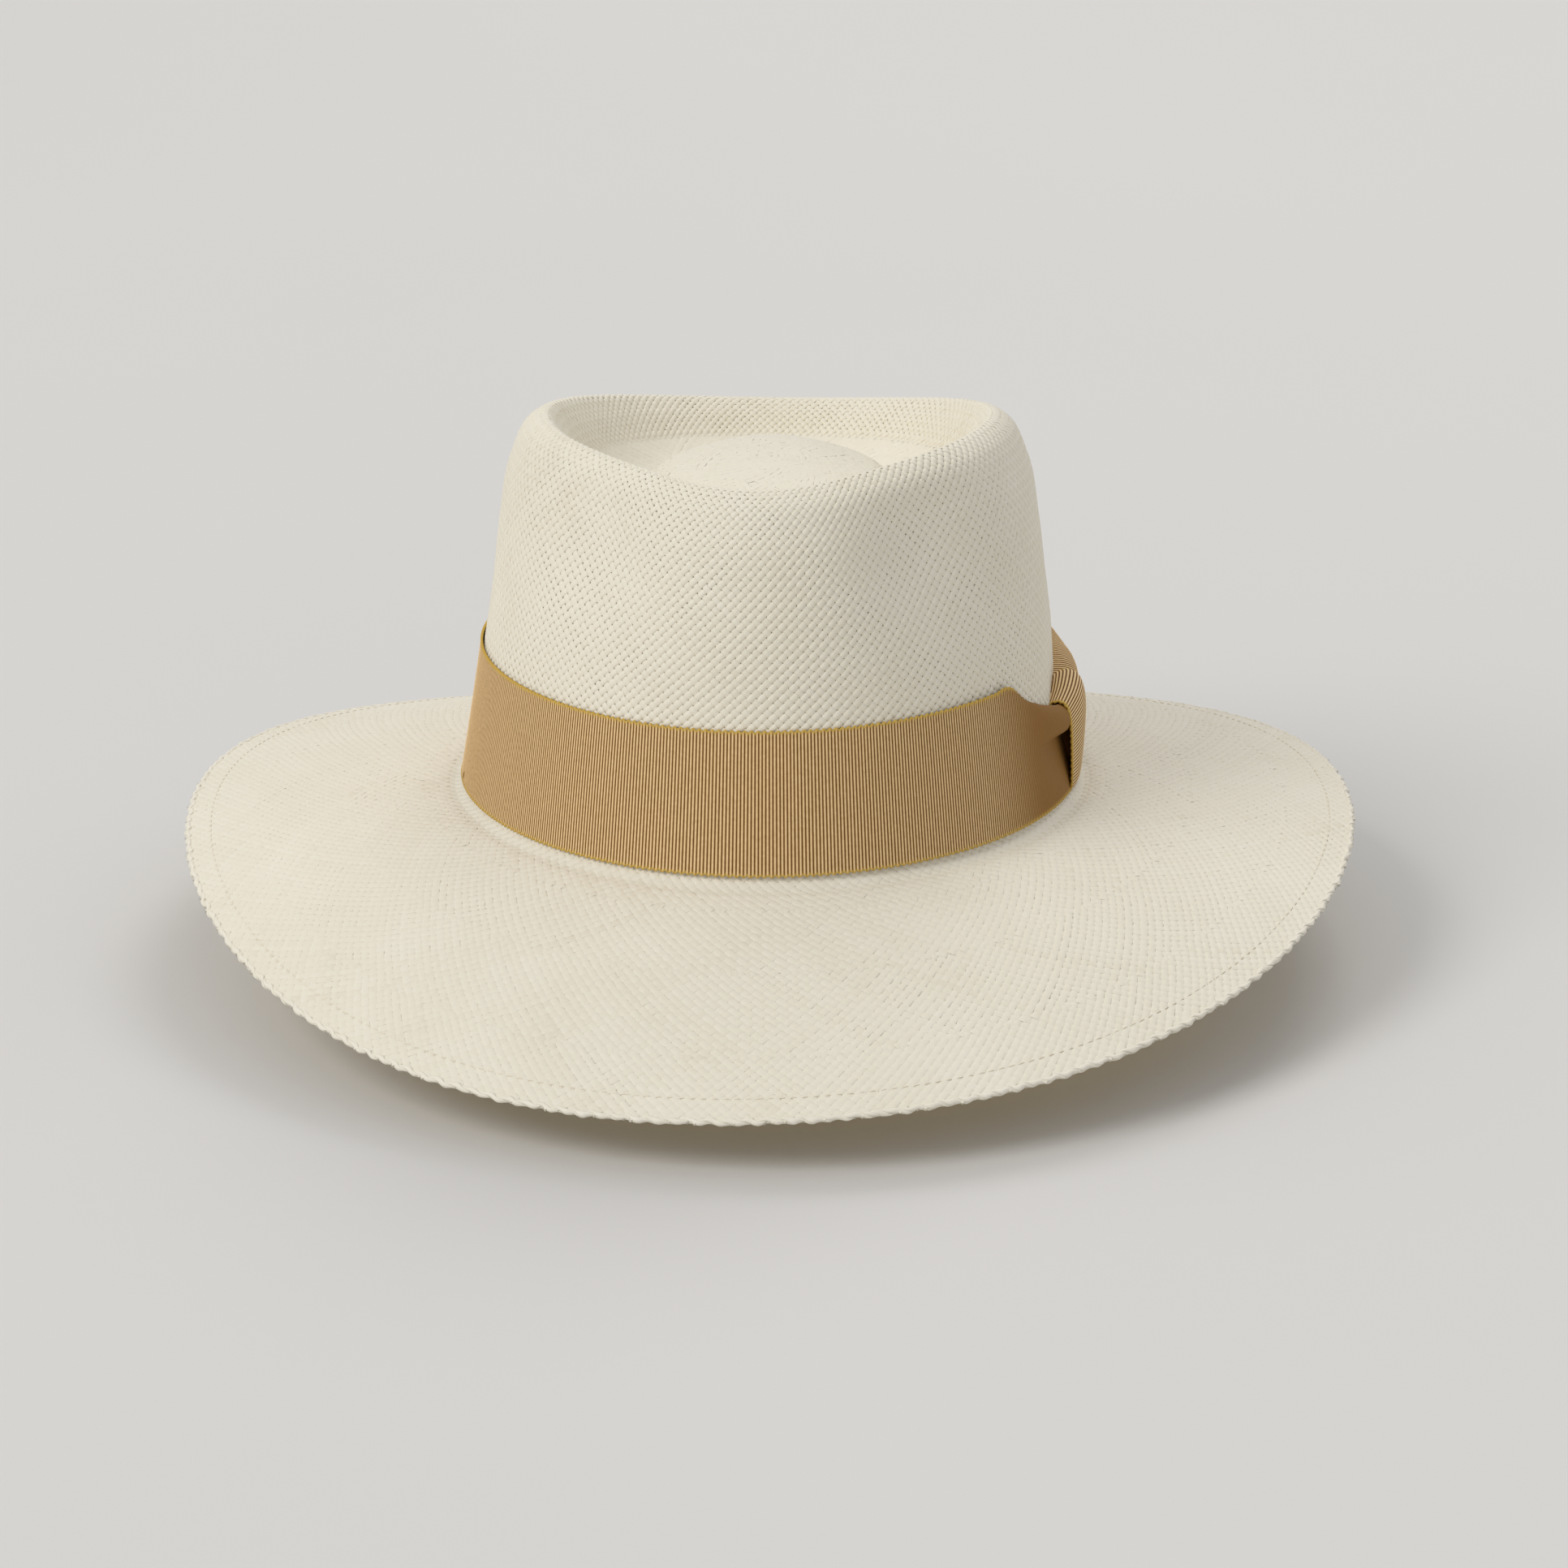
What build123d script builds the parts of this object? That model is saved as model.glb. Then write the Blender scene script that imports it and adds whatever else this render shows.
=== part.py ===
"""Panama hat: woven straw body, ribbon band with a side bow, and a fitted sweatband.

Frame: +Z up, +Y towards the back of the hat, +X towards the wearer's left, where the bow is.
The hat stands on its brim, whose front and back edges touch z = 0 under the centre of the box.
All sizes are millimetres.
"""

from build123d import *
import os
from collections import namedtuple
import numpy as np

# ---------------------------------------------------------------- driving dimensions
STRAW_THICKNESS = 1.4      # crossing straws, pressed flat
BREAK_HEIGHT = 35.2        # from the standing surface to the line where brim meets crown
HEM_WIDTH = 7.0            # the stitch line runs this far inside the brim's edge

BAND_HEIGHT = 37.7         # 1 1/2 inch ribbon, on a slightly leaning crown
BAND_THICKNESS = 0.55
TACK_LENGTH = 2.4
TACK_HEIGHT = 2.0          # above the band's lower edge
TACK_COUNT = 6
TACK_ANGLES = (50.0, 190.0)

SWEATBAND_THICKNESS = 1.0
SWEATBAND_RINGS = (13.15, 12.6, 12.0, 11.4)   # ring numbers from its lower to its upper edge
REED_RADIUS = 1.0
THREAD_RADIUS = 0.3
THREAD_GAP = 0.05          # between a thread and what it lies on
SEAM_HEIGHT = 3.0          # of the seam above the sweatband's lower edge
CLEARANCE = 0.35           # between soft pieces that only lie against each other

KNOT_ANGLES = (-9.5, 7.6)  # degrees from +X towards the back
KNOT_SHARES = (0.02, 0.66)  # of the band's height
KNOT_DEPTH = 4.6
LOOP_ANGLES = (8.4, 31.0)
LOOP_SHARES = (0.04, 0.84)
LOOP_DEPTH = 4.8
PAD_RIM_DEPTH = 1.2        # of the knot and the loop at their rims
GATHER_SHARE = 0.64        # the band's height at the knot, where it is gathered
GATHER_HALF_ANGLE = 24.0
BACK_BOW_ANGLE = 90.0      # at the back, degrees from +X
BACK_BOW_WIDTH = 24.0
BACK_BOW_DEPTH = 1.6
BACK_BOW_RINGS = (12.7, 12.2)
LABEL_ANGLE = 72.0
LABEL_WIDTH = 18.0
LABEL_DEPTH = 0.5
LABEL_RINGS = (12.5, 11.9)

# Each ring is an oval around the hat at one height of the straw's upper surface.
# taper makes the oval wider at the back than at the front, slope drops the ring towards the
# back, and saddle lifts its sides above its front and back. Heights start at the break.
Ring = namedtuple("Ring", "half_width half_length centre_y taper height slope saddle")

DOME_TOP = Ring(0.0, 0.0, 3.0, 0.0, 92.8, 0.0, 0.0)
DOME_CROWN = Ring(14.0, 20.0, 3.0, 0.0, 91.7, 0.8, 0.0)
DOME_SHOULDER = Ring(28.0, 37.0, 2.0, 0.03, 87.6, 2.5, 0.3)
GROOVE = Ring(42.0, 56.0, 1.0, 0.06, 79.5, 5.0, 1.0)
INNER_WALL = Ring(51.0, 67.5, 0.0, 0.08, 86.0, 7.0, 1.5)
RIM_INNER = Ring(56.5, 75.0, -1.2, 0.09, 95.5, 8.8, 2.8)
RIM_TOP = Ring(60.5, 79.5, -1.8, 0.08, 99.5, 9.6, 4.0)
RIM_OUTER = Ring(65.8, 85.0, -1.5, 0.07, 97.2, 9.6, 4.0)
SHOULDER = Ring(71.0, 90.3, -0.5, 0.06, 88.0, 9.0, 2.6)
UPPER_SIDE = Ring(74.2, 93.7, 0.8, 0.045, 72.0, 7.2, 1.2)
MID_SIDE = Ring(76.3, 95.6, 2.0, 0.04, 55.0, 6.0, 0.5)
BAND_TOP = Ring(79.0, 97.2, 3.2, 0.04, 38.0, 5.5, 0.2)
BAND_MIDDLE = Ring(82.0, 99.5, 1.7, 0.04, 19.0, 5.5, 0.2)
BAND_FOOT = Ring(84.5, 101.6, 0.0, 0.04, 2.6, 5.5, 0.2)
FILLET = Ring(85.2, 102.3, 0.0, 0.04, -0.6, 5.5, 0.2)
BREAK = Ring(87.4, 104.5, 0.0, 0.04, -2.3, 5.4, 0.25)
BRIM_EDGE = Ring(162.6, 177.5, 0.0, 0.02, -23.6, -1.9, 11.0)

CROWN_RINGS = [
    DOME_TOP, DOME_CROWN, DOME_SHOULDER, GROOVE, INNER_WALL, RIM_INNER, RIM_TOP, RIM_OUTER,
    SHOULDER, UPPER_SIDE, MID_SIDE, BAND_TOP, BAND_MIDDLE, BAND_FOOT, FILLET, BREAK,
]
BRIM_STEPS = [0.05, 0.2, 0.4, 0.6, 0.8, 1.0]   # shares of the way from the break to the edge
BRIM_DROOP = 1.2           # the brim bends down more towards its edge

# The brim's edge also waves: these lift it where it turns from the front to the sides.
EDGE_THIRD = 1.9
EDGE_FOURTH = 1.0
EDGE_SKEW = 0.9            # one front quarter is a little higher than the other

# A pinch pushes the crown in at both sides of its front.
Pinch = namedtuple("Pinch", "azimuth depth half_angle ring spread")
FRONT_PINCHES = [Pinch(41.0, 5.5, 17.0, 8.6, 1.2), Pinch(36.0, 4.0, 24.0, 6.5, 1.6)]
BOW_DENT = Pinch(0.0, 3.0, 14.0, 12.0, 1.0)   # where the knot pulls the straw in

# The ribbon band is its own pair of ovals, a little clear of the straw.
RIBBON_FOOT = Ring(86.0, 103.0, 0.0, 0.041, 0.3, 5.5, 0.2)
RIBBON_TOP = Ring(81.1, 98.7, 3.5, 0.041, BAND_HEIGHT, 5.5, 0.2)

AROUND_POINTS = 60         # points that each ring's smooth edge passes through
RINGS_ON_STRAW = 46        # edges from the dome's middle to the brim's edge
DOME_MIDDLE_RING = 0.35    # the flat oval in the middle of the dome
PAD_POINTS = 9             # points each way on the knot's and the loop's faces


# ---------------------------------------------------------------- the hat's surface
def oval(ring, azimuth):
    """Points of a ring at the given azimuths, in radians from +X."""
    sine, cosine = np.sin(azimuth), np.cos(azimuth)
    x = ring.half_width * cosine * (1 + ring.taper * sine)
    y = ring.half_length * sine + ring.centre_y
    z = ring.height - ring.slope * sine + ring.saddle * np.cos(2 * azimuth) + BREAK_HEIGHT
    return np.stack([x, y, z], axis=-1)


def brim_edge(azimuth):
    """The brim's outer edge, which waves more than a plain ring."""
    points = oval(BRIM_EDGE, azimuth)
    points[..., 2] += EDGE_THIRD * np.sin(3 * azimuth) + EDGE_FOURTH * np.cos(4 * azimuth)
    points[..., 2] += EDGE_SKEW * (np.cos(azimuth) - np.cos(3 * azimuth))
    return points


def all_rings(azimuth):
    """Every ring from the middle of the dome to the brim's edge, as (rings, azimuths, 3)."""
    rings = [oval(ring, azimuth) for ring in CROWN_RINGS]
    root, edge = rings[-1], brim_edge(azimuth)
    for step in BRIM_STEPS:
        points = root + (edge - root) * step
        points[..., 2] = root[..., 2] + (edge[..., 2] - root[..., 2]) * step**BRIM_DROOP
        rings.append(points)
    return np.stack(rings)


def ring_stations():
    """Mean distance of each ring from the dome's middle, measured along the surface."""
    around = np.linspace(0, 2 * np.pi, 72, endpoint=False)
    steps = np.linalg.norm(np.diff(all_rings(around), axis=0), axis=-1).mean(axis=1)
    return np.concatenate([[0.0], np.cumsum(steps)])


STATIONS = ring_stations()
RING_COUNT = len(STATIONS)


def station_of(ring_number):
    """Distance from the dome's middle to a whole or part ring number."""
    return float(np.interp(ring_number, np.arange(RING_COUNT), STATIONS))


def ring_tangents(rings):
    """Slope of the profile at each ring, for a smooth curve through all of them."""
    tangents = np.empty_like(rings)
    for i in range(1, RING_COUNT - 1):
        before, after = STATIONS[i] - STATIONS[i - 1], STATIONS[i + 1] - STATIONS[i]
        slope_in = (rings[i] - rings[i - 1]) / before
        slope_out = (rings[i + 1] - rings[i]) / after
        tangents[i] = (slope_in * after + slope_out * before) / (before + after)
    tangents[0] = (rings[1] - rings[0]) / STATIONS[1]
    tangents[0, :, 2] = 0.0
    tangents[-1] = (rings[-1] - rings[-2]) / (STATIONS[-1] - STATIONS[-2])
    return tangents


def all_pinches():
    """Each pinch with the azimuth of its middle, in radians from +X."""
    front = [(pinch, -np.pi / 2 + side * np.radians(pinch.azimuth))
             for pinch in FRONT_PINCHES for side in (-1, 1)]
    return front + [(BOW_DENT, np.radians(BOW_DENT.azimuth))]


def pinch_push(azimuth, station):
    """Horizontal push of the pinches at a point of the crown."""
    push = np.zeros(azimuth.shape + (2,))
    ring_number = np.interp(station, STATIONS, np.arange(RING_COUNT))
    for pinch, middle in all_pinches():
        along = np.exp(-(((ring_number - pinch.ring) / pinch.spread) ** 2)) * (ring_number > 1)
        turn = (azimuth - middle + np.pi) % (2 * np.pi) - np.pi
        around = np.exp(-((turn / np.radians(pinch.half_angle)) ** 2))
        inward = -np.array([np.cos(middle), np.sin(middle)])
        push += (pinch.depth * around * along)[..., None] * inward
    return push


def straw_top(azimuth, station):
    """Upper surface of the straw at azimuths and distances from the dome's middle."""
    azimuth, station = np.broadcast_arrays(np.asarray(azimuth, float), np.asarray(station, float))
    shape = azimuth.shape
    azimuth, station = azimuth.ravel(), station.ravel()
    rings = all_rings(azimuth)
    tangents = ring_tangents(rings)
    low = np.clip(np.searchsorted(STATIONS, station, side="right") - 1, 0, RING_COUNT - 2)
    each = np.arange(len(azimuth))
    gap = (STATIONS[low + 1] - STATIONS[low])[:, None]
    u = (station[:, None] - STATIONS[low][:, None]) / gap
    start, end = rings[low, each], rings[low + 1, each]
    leave, arrive = tangents[low, each] * gap, tangents[low + 1, each] * gap
    points = (2 * u**3 - 3 * u**2 + 1) * start + (u**3 - 2 * u**2 + u) * leave
    points += (3 * u**2 - 2 * u**3) * end + (u**3 - u**2) * arrive
    points[:, :2] += pinch_push(azimuth, station)
    return points.reshape(shape + (3,))


def straw_normal(azimuth, station):
    """Unit normal of the straw's upper surface, pointing out of the hat."""
    turn, step = 0.002, 0.2
    station = np.maximum(station, 2 * step)
    across = straw_top(azimuth + turn, station) - straw_top(azimuth - turn, station)
    down = straw_top(azimuth, np.minimum(station + step, STATIONS[-1]))
    down = down - straw_top(azimuth, station - step)
    normal = np.cross(down, across)
    return normal / np.linalg.norm(normal, axis=-1, keepdims=True)


def straw_inside(azimuth, station, depth):
    """The surface a given depth under the straw's upper one."""
    return straw_top(azimuth, station) - straw_normal(azimuth, station) * depth


def band_top_share(azimuth):
    """The band's height as a share of the ribbon's width: less where the knot gathers it."""
    turn = np.degrees((azimuth + np.pi) % (2 * np.pi) - np.pi)
    return 1 - (1 - GATHER_SHARE) * np.exp(-((np.abs(turn) / GATHER_HALF_ANGLE) ** 4))


def band_outside(azimuth, share, proud):
    """Points over the ribbon band: share goes from its lower to its upper edge."""
    foot, top = oval(RIBBON_FOOT, azimuth), oval(RIBBON_TOP, azimuth)
    points = foot + (top - foot) * share[..., None]
    outward = np.stack([np.cos(azimuth), np.sin(azimuth), np.zeros_like(azimuth)], axis=-1)
    return points + outward * proud[..., None]


# ---------------------------------------------------------------- solids from point grids
def patch(points):
    """A smooth face through a grid of points."""
    rows = [[tuple(float(value) for value in point) for point in row] for row in points]
    return Face.make_surface_from_array_of_points(rows, tol=0.01)


def closed_solid(faces):
    """One solid from faces that close around it."""
    solid = Solid(Shell(faces))
    return solid if solid.volume > 0 else Solid(solid.wrapped.Reversed())


def around_hat():
    """Azimuths once around the hat."""
    return np.linspace(0, 2 * np.pi, AROUND_POINTS, endpoint=False)


def ring_edge(loop):
    """A closed smooth edge through a loop, which is a function of azimuth."""
    return Edge.make_spline([tuple(point) for point in loop(around_hat())], periodic=True)


def ring_solid(loops):
    """A closed ring whose section has a corner on each loop."""
    edges = [ring_edge(loop) for loop in loops]
    sides = zip(edges, edges[1:] + edges[:1])
    return closed_solid([Face.make_surface_from_curves(one, other) for one, other in sides])


def slab_solid(inner, outer):
    """A solid between two point grids of the same shape."""
    lower, upper = patch(inner), patch(outer)
    sides = [Face.make_surface_from_curves(*pair) for pair in zip(lower.edges(), upper.edges())]
    return closed_solid([lower, upper] + sides)


# ---------------------------------------------------------------- pieces
def make_straw_body():
    """Crown and brim in one woven piece."""
    numbers = np.linspace(DOME_MIDDLE_RING, RING_COUNT - 1, RINGS_ON_STRAW)
    stations = [station_of(number) for number in numbers]

    def flat_middle(height):
        def loop(azimuth):
            points = straw_top(azimuth, stations[0])
            points[..., 2] = height
            return points
        return loop

    def surface_loop(station, depth):
        return lambda azimuth: straw_inside(azimuth, station, depth)

    height = BREAK_HEIGHT + DOME_TOP.height
    top = [flat_middle(height)] + [surface_loop(station, 0) for station in stations[1:]]
    under = [flat_middle(height - STRAW_THICKNESS)]
    under += [surface_loop(station, STRAW_THICKNESS) for station in stations[1:]]
    edges = [ring_edge(loop) for loop in top + under[::-1]]
    faces = [Face.make_surface_from_curves(one, other) for one, other in zip(edges, edges[1:])]
    faces += [Face(Wire([edges[0]])), Face(Wire([edges[-1]]))]
    return closed_solid(faces)


def make_thread(center_depth, station, radius):
    """A thread or reed that runs all round, a given depth under the straw's upper surface."""
    def corner(angle):
        down, along = center_depth + radius * np.cos(angle), radius * np.sin(angle)
        return lambda azimuth: straw_inside(azimuth, station + along, down)
    return ring_solid([corner(angle) for angle in np.radians([0, 60, 120, 180, 240, 300])])


def make_hat_band():
    """The ribbon round the crown's foot."""
    def loop(share, proud):
        return lambda azimuth: band_outside(
            azimuth, share * band_top_share(azimuth), np.full_like(azimuth, proud))
    inside = -BAND_THICKNESS
    return ring_solid([loop(0, 0), loop(1, 0), loop(1, inside), loop(0, inside)])


def band_pad(angles, shares, depth):
    """A piece of folded ribbon that lies on the band: thick in the middle, thin at its rims."""
    azimuth = np.radians(np.linspace(*angles, PAD_POINTS))
    share = np.linspace(*shares, PAD_POINTS)
    azimuth, share = np.meshgrid(azimuth, share, indexing="ij")
    along = np.linspace(-1, 1, PAD_POINTS)
    bulge = np.outer(1 - along**4, 1 - along**2)
    near = np.full_like(azimuth, CLEARANCE)
    return slab_solid(
        band_outside(azimuth, share, near),
        band_outside(azimuth, share, near + PAD_RIM_DEPTH + (depth - PAD_RIM_DEPTH) * bulge))


def make_bow_knot():
    """The ribbon wrapped round the middle of the bow."""
    return band_pad(KNOT_ANGLES, KNOT_SHARES, KNOT_DEPTH)


def make_bow_rear_loop():
    """The bow's loop behind the knot."""
    return band_pad(LOOP_ANGLES, LOOP_SHARES, LOOP_DEPTH)


def make_band_tacks():
    """Short stitches that hold the band to the straw, round the back and the far side."""
    tacks = []
    for azimuth in np.radians(np.linspace(*TACK_ANGLES, TACK_COUNT)):
        share = TACK_HEIGHT / BAND_HEIGHT
        middle = band_outside(np.array(azimuth), np.array(share), np.array(CLEARANCE + THREAD_RADIUS))
        tack = Cylinder(THREAD_RADIUS, TACK_LENGTH)
        tacks.append(Location(tuple(middle)) * tack)
    return Compound(children=tacks)


def make_sweatband():
    """The leather band that lines the head opening."""
    def loop(ring_number, depth):
        station = station_of(ring_number)
        return lambda azimuth: straw_inside(azimuth, station, STRAW_THICKNESS + depth)

    outside = [loop(number, CLEARANCE) for number in SWEATBAND_RINGS]
    inside = [loop(number, CLEARANCE + SWEATBAND_THICKNESS) for number in SWEATBAND_RINGS]
    return ring_solid(outside + inside[::-1])


def sweatband_patch(middle_degrees, width, rings, depth):
    """A flat piece sewn to the sweatband's inner face."""
    middle = np.radians(middle_degrees)
    half_turn = width / 2 / np.linalg.norm(straw_top(middle, station_of(rings[0]))[:2])
    azimuth = middle + np.linspace(-half_turn, half_turn, 7)
    station = np.array([station_of(number) for number in np.linspace(*rings, 5)])
    azimuth, station = np.meshgrid(azimuth, station, indexing="ij")
    behind = STRAW_THICKNESS + 2 * CLEARANCE + SWEATBAND_THICKNESS
    return slab_solid(
        straw_inside(azimuth, station, behind), straw_inside(azimuth, station, behind + depth))


def export_parts():
    """Write one STEP file for each piece."""
    hem_station = STATIONS[-1] - HEM_WIDTH
    foot_station = station_of(SWEATBAND_RINGS[0])
    behind_sweatband = STRAW_THICKNESS + CLEARANCE + SWEATBAND_THICKNESS
    parts = {
        "straw_body": make_straw_body(),
        "brim_edge_stitching": make_thread(-THREAD_RADIUS - THREAD_GAP, hem_station, THREAD_RADIUS),
        "hat_band": make_hat_band(),
        "band_tacks": make_band_tacks(),
        "bow_knot": make_bow_knot(),
        "bow_rear_loop": make_bow_rear_loop(),
        "sweatband": make_sweatband(),
        "sweatband_reed": make_thread(
            behind_sweatband + CLEARANCE + REED_RADIUS, foot_station, REED_RADIUS),
        "sweatband_stitching": make_thread(
            behind_sweatband + THREAD_RADIUS + THREAD_GAP, foot_station - SEAM_HEIGHT, THREAD_RADIUS),
        "sweatband_bow": sweatband_patch(
            BACK_BOW_ANGLE, BACK_BOW_WIDTH, BACK_BOW_RINGS, BACK_BOW_DEPTH),
        "size_label": sweatband_patch(LABEL_ANGLE, LABEL_WIDTH, LABEL_RINGS, LABEL_DEPTH),
    }
    for name, shape in parts.items():
        shape.label = name
        export_step(shape, f"parts/{name}.step")


os.makedirs("parts", exist_ok=True)
export_parts()
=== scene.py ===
import math
from collections import namedtuple

import bpy
import numpy as np
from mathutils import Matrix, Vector


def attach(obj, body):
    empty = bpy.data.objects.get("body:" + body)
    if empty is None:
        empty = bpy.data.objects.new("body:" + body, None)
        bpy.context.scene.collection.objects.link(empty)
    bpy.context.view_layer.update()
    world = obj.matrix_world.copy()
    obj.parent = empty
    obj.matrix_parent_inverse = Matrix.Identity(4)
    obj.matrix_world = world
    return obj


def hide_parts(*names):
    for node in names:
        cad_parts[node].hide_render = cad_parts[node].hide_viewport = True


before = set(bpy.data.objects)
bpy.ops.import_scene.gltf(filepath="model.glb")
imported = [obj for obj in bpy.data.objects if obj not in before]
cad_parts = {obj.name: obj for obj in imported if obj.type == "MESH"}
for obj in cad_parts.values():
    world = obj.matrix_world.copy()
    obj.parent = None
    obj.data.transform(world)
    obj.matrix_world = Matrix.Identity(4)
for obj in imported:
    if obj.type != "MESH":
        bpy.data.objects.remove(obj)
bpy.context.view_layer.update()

RANDOM = np.random.default_rng(7)
TURN = 2 * np.pi

# ---------------------------------------------------------------- the hat's surface, in mm
# The same rings as the CAD part's. Heights start at the break, where brim meets crown.
BREAK_HEIGHT = 35.2
STRAW_DEPTH = 1.4
HEM_WIDTH = 7.0

Ring = namedtuple("Ring", "half_width half_length centre_y taper height slope saddle")
CROWN_RINGS = [
    Ring(0.0, 0.0, 3.0, 0.0, 92.8, 0.0, 0.0),
    Ring(14.0, 20.0, 3.0, 0.0, 91.7, 0.8, 0.0),
    Ring(28.0, 37.0, 2.0, 0.03, 87.6, 2.5, 0.3),
    Ring(42.0, 56.0, 1.0, 0.06, 79.5, 5.0, 1.0),
    Ring(51.0, 67.5, 0.0, 0.08, 86.0, 7.0, 1.5),
    Ring(56.5, 75.0, -1.2, 0.09, 95.5, 8.8, 2.8),
    Ring(60.5, 79.5, -1.8, 0.08, 99.5, 9.6, 4.0),
    Ring(65.8, 85.0, -1.5, 0.07, 97.2, 9.6, 4.0),
    Ring(71.0, 90.3, -0.5, 0.06, 88.0, 9.0, 2.6),
    Ring(74.2, 93.7, 0.8, 0.045, 72.0, 7.2, 1.2),
    Ring(76.3, 95.6, 2.0, 0.04, 55.0, 6.0, 0.5),
    Ring(79.0, 97.2, 3.2, 0.04, 38.0, 5.5, 0.2),
    Ring(82.0, 99.5, 1.7, 0.04, 19.0, 5.5, 0.2),
    Ring(84.5, 101.6, 0.0, 0.04, 2.6, 5.5, 0.2),
    Ring(85.2, 102.3, 0.0, 0.04, -0.6, 5.5, 0.2),
    Ring(87.4, 104.5, 0.0, 0.04, -2.3, 5.4, 0.25),
]
BRIM_EDGE = Ring(162.6, 177.5, 0.0, 0.02, -23.6, -1.9, 11.0)
BRIM_STEPS = [0.05, 0.2, 0.4, 0.6, 0.8, 1.0]
BRIM_DROOP = 1.2
EDGE_THIRD, EDGE_FOURTH, EDGE_SKEW = 1.9, 1.0, 0.9

Pinch = namedtuple("Pinch", "azimuth depth half_angle ring spread")
FRONT_PINCHES = [Pinch(41.0, 5.5, 17.0, 8.6, 1.2), Pinch(36.0, 4.0, 24.0, 6.5, 1.6)]
BOW_DENT = Pinch(0.0, 3.0, 14.0, 12.0, 1.0)   # where the knot pulls the straw in
ALL_PINCHES = [(pinch, -np.pi / 2 + side * math.radians(pinch.azimuth))
               for pinch in FRONT_PINCHES for side in (-1, 1)] + [(BOW_DENT, 0.0)]

BAND_HEIGHT = 37.7
RIBBON_FOOT = Ring(86.0, 103.0, 0.0, 0.041, 0.3, 5.5, 0.2)
RIBBON_TOP = Ring(81.1, 98.7, 3.5, 0.041, BAND_HEIGHT, 5.5, 0.2)


def oval(ring, azimuth):
    """Points of a ring at azimuths in radians from +X."""
    sine, cosine = np.sin(azimuth), np.cos(azimuth)
    x = ring.half_width * cosine * (1 + ring.taper * sine)
    y = ring.half_length * sine + ring.centre_y
    z = ring.height - ring.slope * sine + ring.saddle * np.cos(2 * azimuth) + BREAK_HEIGHT
    return np.stack([x, y, z], axis=-1)


def all_rings(azimuth):
    """Every ring from the dome's middle to the brim's edge, as (rings, azimuths, 3)."""
    rings = [oval(ring, azimuth) for ring in CROWN_RINGS]
    root, edge = rings[-1], oval(BRIM_EDGE, azimuth)
    edge[..., 2] += EDGE_THIRD * np.sin(3 * azimuth) + EDGE_FOURTH * np.cos(4 * azimuth)
    edge[..., 2] += EDGE_SKEW * (np.cos(azimuth) - np.cos(3 * azimuth))
    for step in BRIM_STEPS:
        points = root + (edge - root) * step
        points[..., 2] = root[..., 2] + (edge[..., 2] - root[..., 2]) * step**BRIM_DROOP
        rings.append(points)
    return np.stack(rings)


AROUND = np.linspace(0, TURN, 72, endpoint=False)
RING_STEPS = np.linalg.norm(np.diff(all_rings(AROUND), axis=0), axis=-1).mean(axis=1)
STATIONS = np.concatenate([[0.0], np.cumsum(RING_STEPS)])
RING_COUNT = len(STATIONS)


def station_of(ring_number):
    """Distance from the dome's middle to a whole or part ring number."""
    return float(np.interp(ring_number, np.arange(RING_COUNT), STATIONS))


def unit(vectors):
    return vectors / np.linalg.norm(vectors, axis=-1, keepdims=True)


def hermite(u, start, slope, end, end_slope):
    """A cubic between two values, with slopes over the whole step."""
    return ((2 * u**3 - 3 * u**2 + 1) * start + (u**3 - 2 * u**2 + u) * slope
            + (3 * u**2 - 2 * u**3) * end + (u**3 - u**2) * end_slope)


def distance_along(points):
    """How far each point of a line is from its start."""
    return np.concatenate([[0.0], np.cumsum(np.linalg.norm(np.diff(points, axis=0), axis=1))])


def straw_top(azimuth, station):
    """Upper surface of the straw, in mm."""
    azimuth, station = np.broadcast_arrays(np.asarray(azimuth, float), np.asarray(station, float))
    shape, azimuth, station = azimuth.shape, azimuth.ravel(), station.ravel()
    rings = all_rings(azimuth)
    tangents = np.empty_like(rings)
    for i in range(1, RING_COUNT - 1):
        before, after = STATIONS[i] - STATIONS[i - 1], STATIONS[i + 1] - STATIONS[i]
        slope_in, slope_out = (rings[i] - rings[i - 1]) / before, (rings[i + 1] - rings[i]) / after
        tangents[i] = (slope_in * after + slope_out * before) / (before + after)
    tangents[0] = (rings[1] - rings[0]) / STATIONS[1]
    tangents[0, :, 2] = 0.0
    tangents[-1] = (rings[-1] - rings[-2]) / (STATIONS[-1] - STATIONS[-2])
    low = np.clip(np.searchsorted(STATIONS, station, side="right") - 1, 0, RING_COUNT - 2)
    each = np.arange(len(azimuth))
    gap = (STATIONS[low + 1] - STATIONS[low])[:, None]
    u = (station[:, None] - STATIONS[low][:, None]) / gap
    points = hermite(u, rings[low, each], tangents[low, each] * gap,
                     rings[low + 1, each], tangents[low + 1, each] * gap)
    ring_number = np.interp(station, STATIONS, np.arange(RING_COUNT))
    for pinch, middle in ALL_PINCHES:
        along = np.exp(-(((ring_number - pinch.ring) / pinch.spread) ** 2)) * (ring_number > 1)
        away = (azimuth - middle + np.pi) % TURN - np.pi
        push = pinch.depth * along * np.exp(-((away / math.radians(pinch.half_angle)) ** 2))
        points[:, 0] -= push * math.cos(middle)
        points[:, 1] -= push * math.sin(middle)
    return points.reshape(shape + (3,))


EDGE_STATION = STATIONS[-1] - 0.6   # the weave turns under here, inside the twisted edge
WEAVE_DEPTH = 0.36        # of the middle of the crossing strands under the straw's upper surface
FOLD_RADIUS = 0.37        # the straw turns round the brim's edge and back underneath
BUMP_REACH = 2.5          # the edge's bumps die out this far inside it


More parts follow.
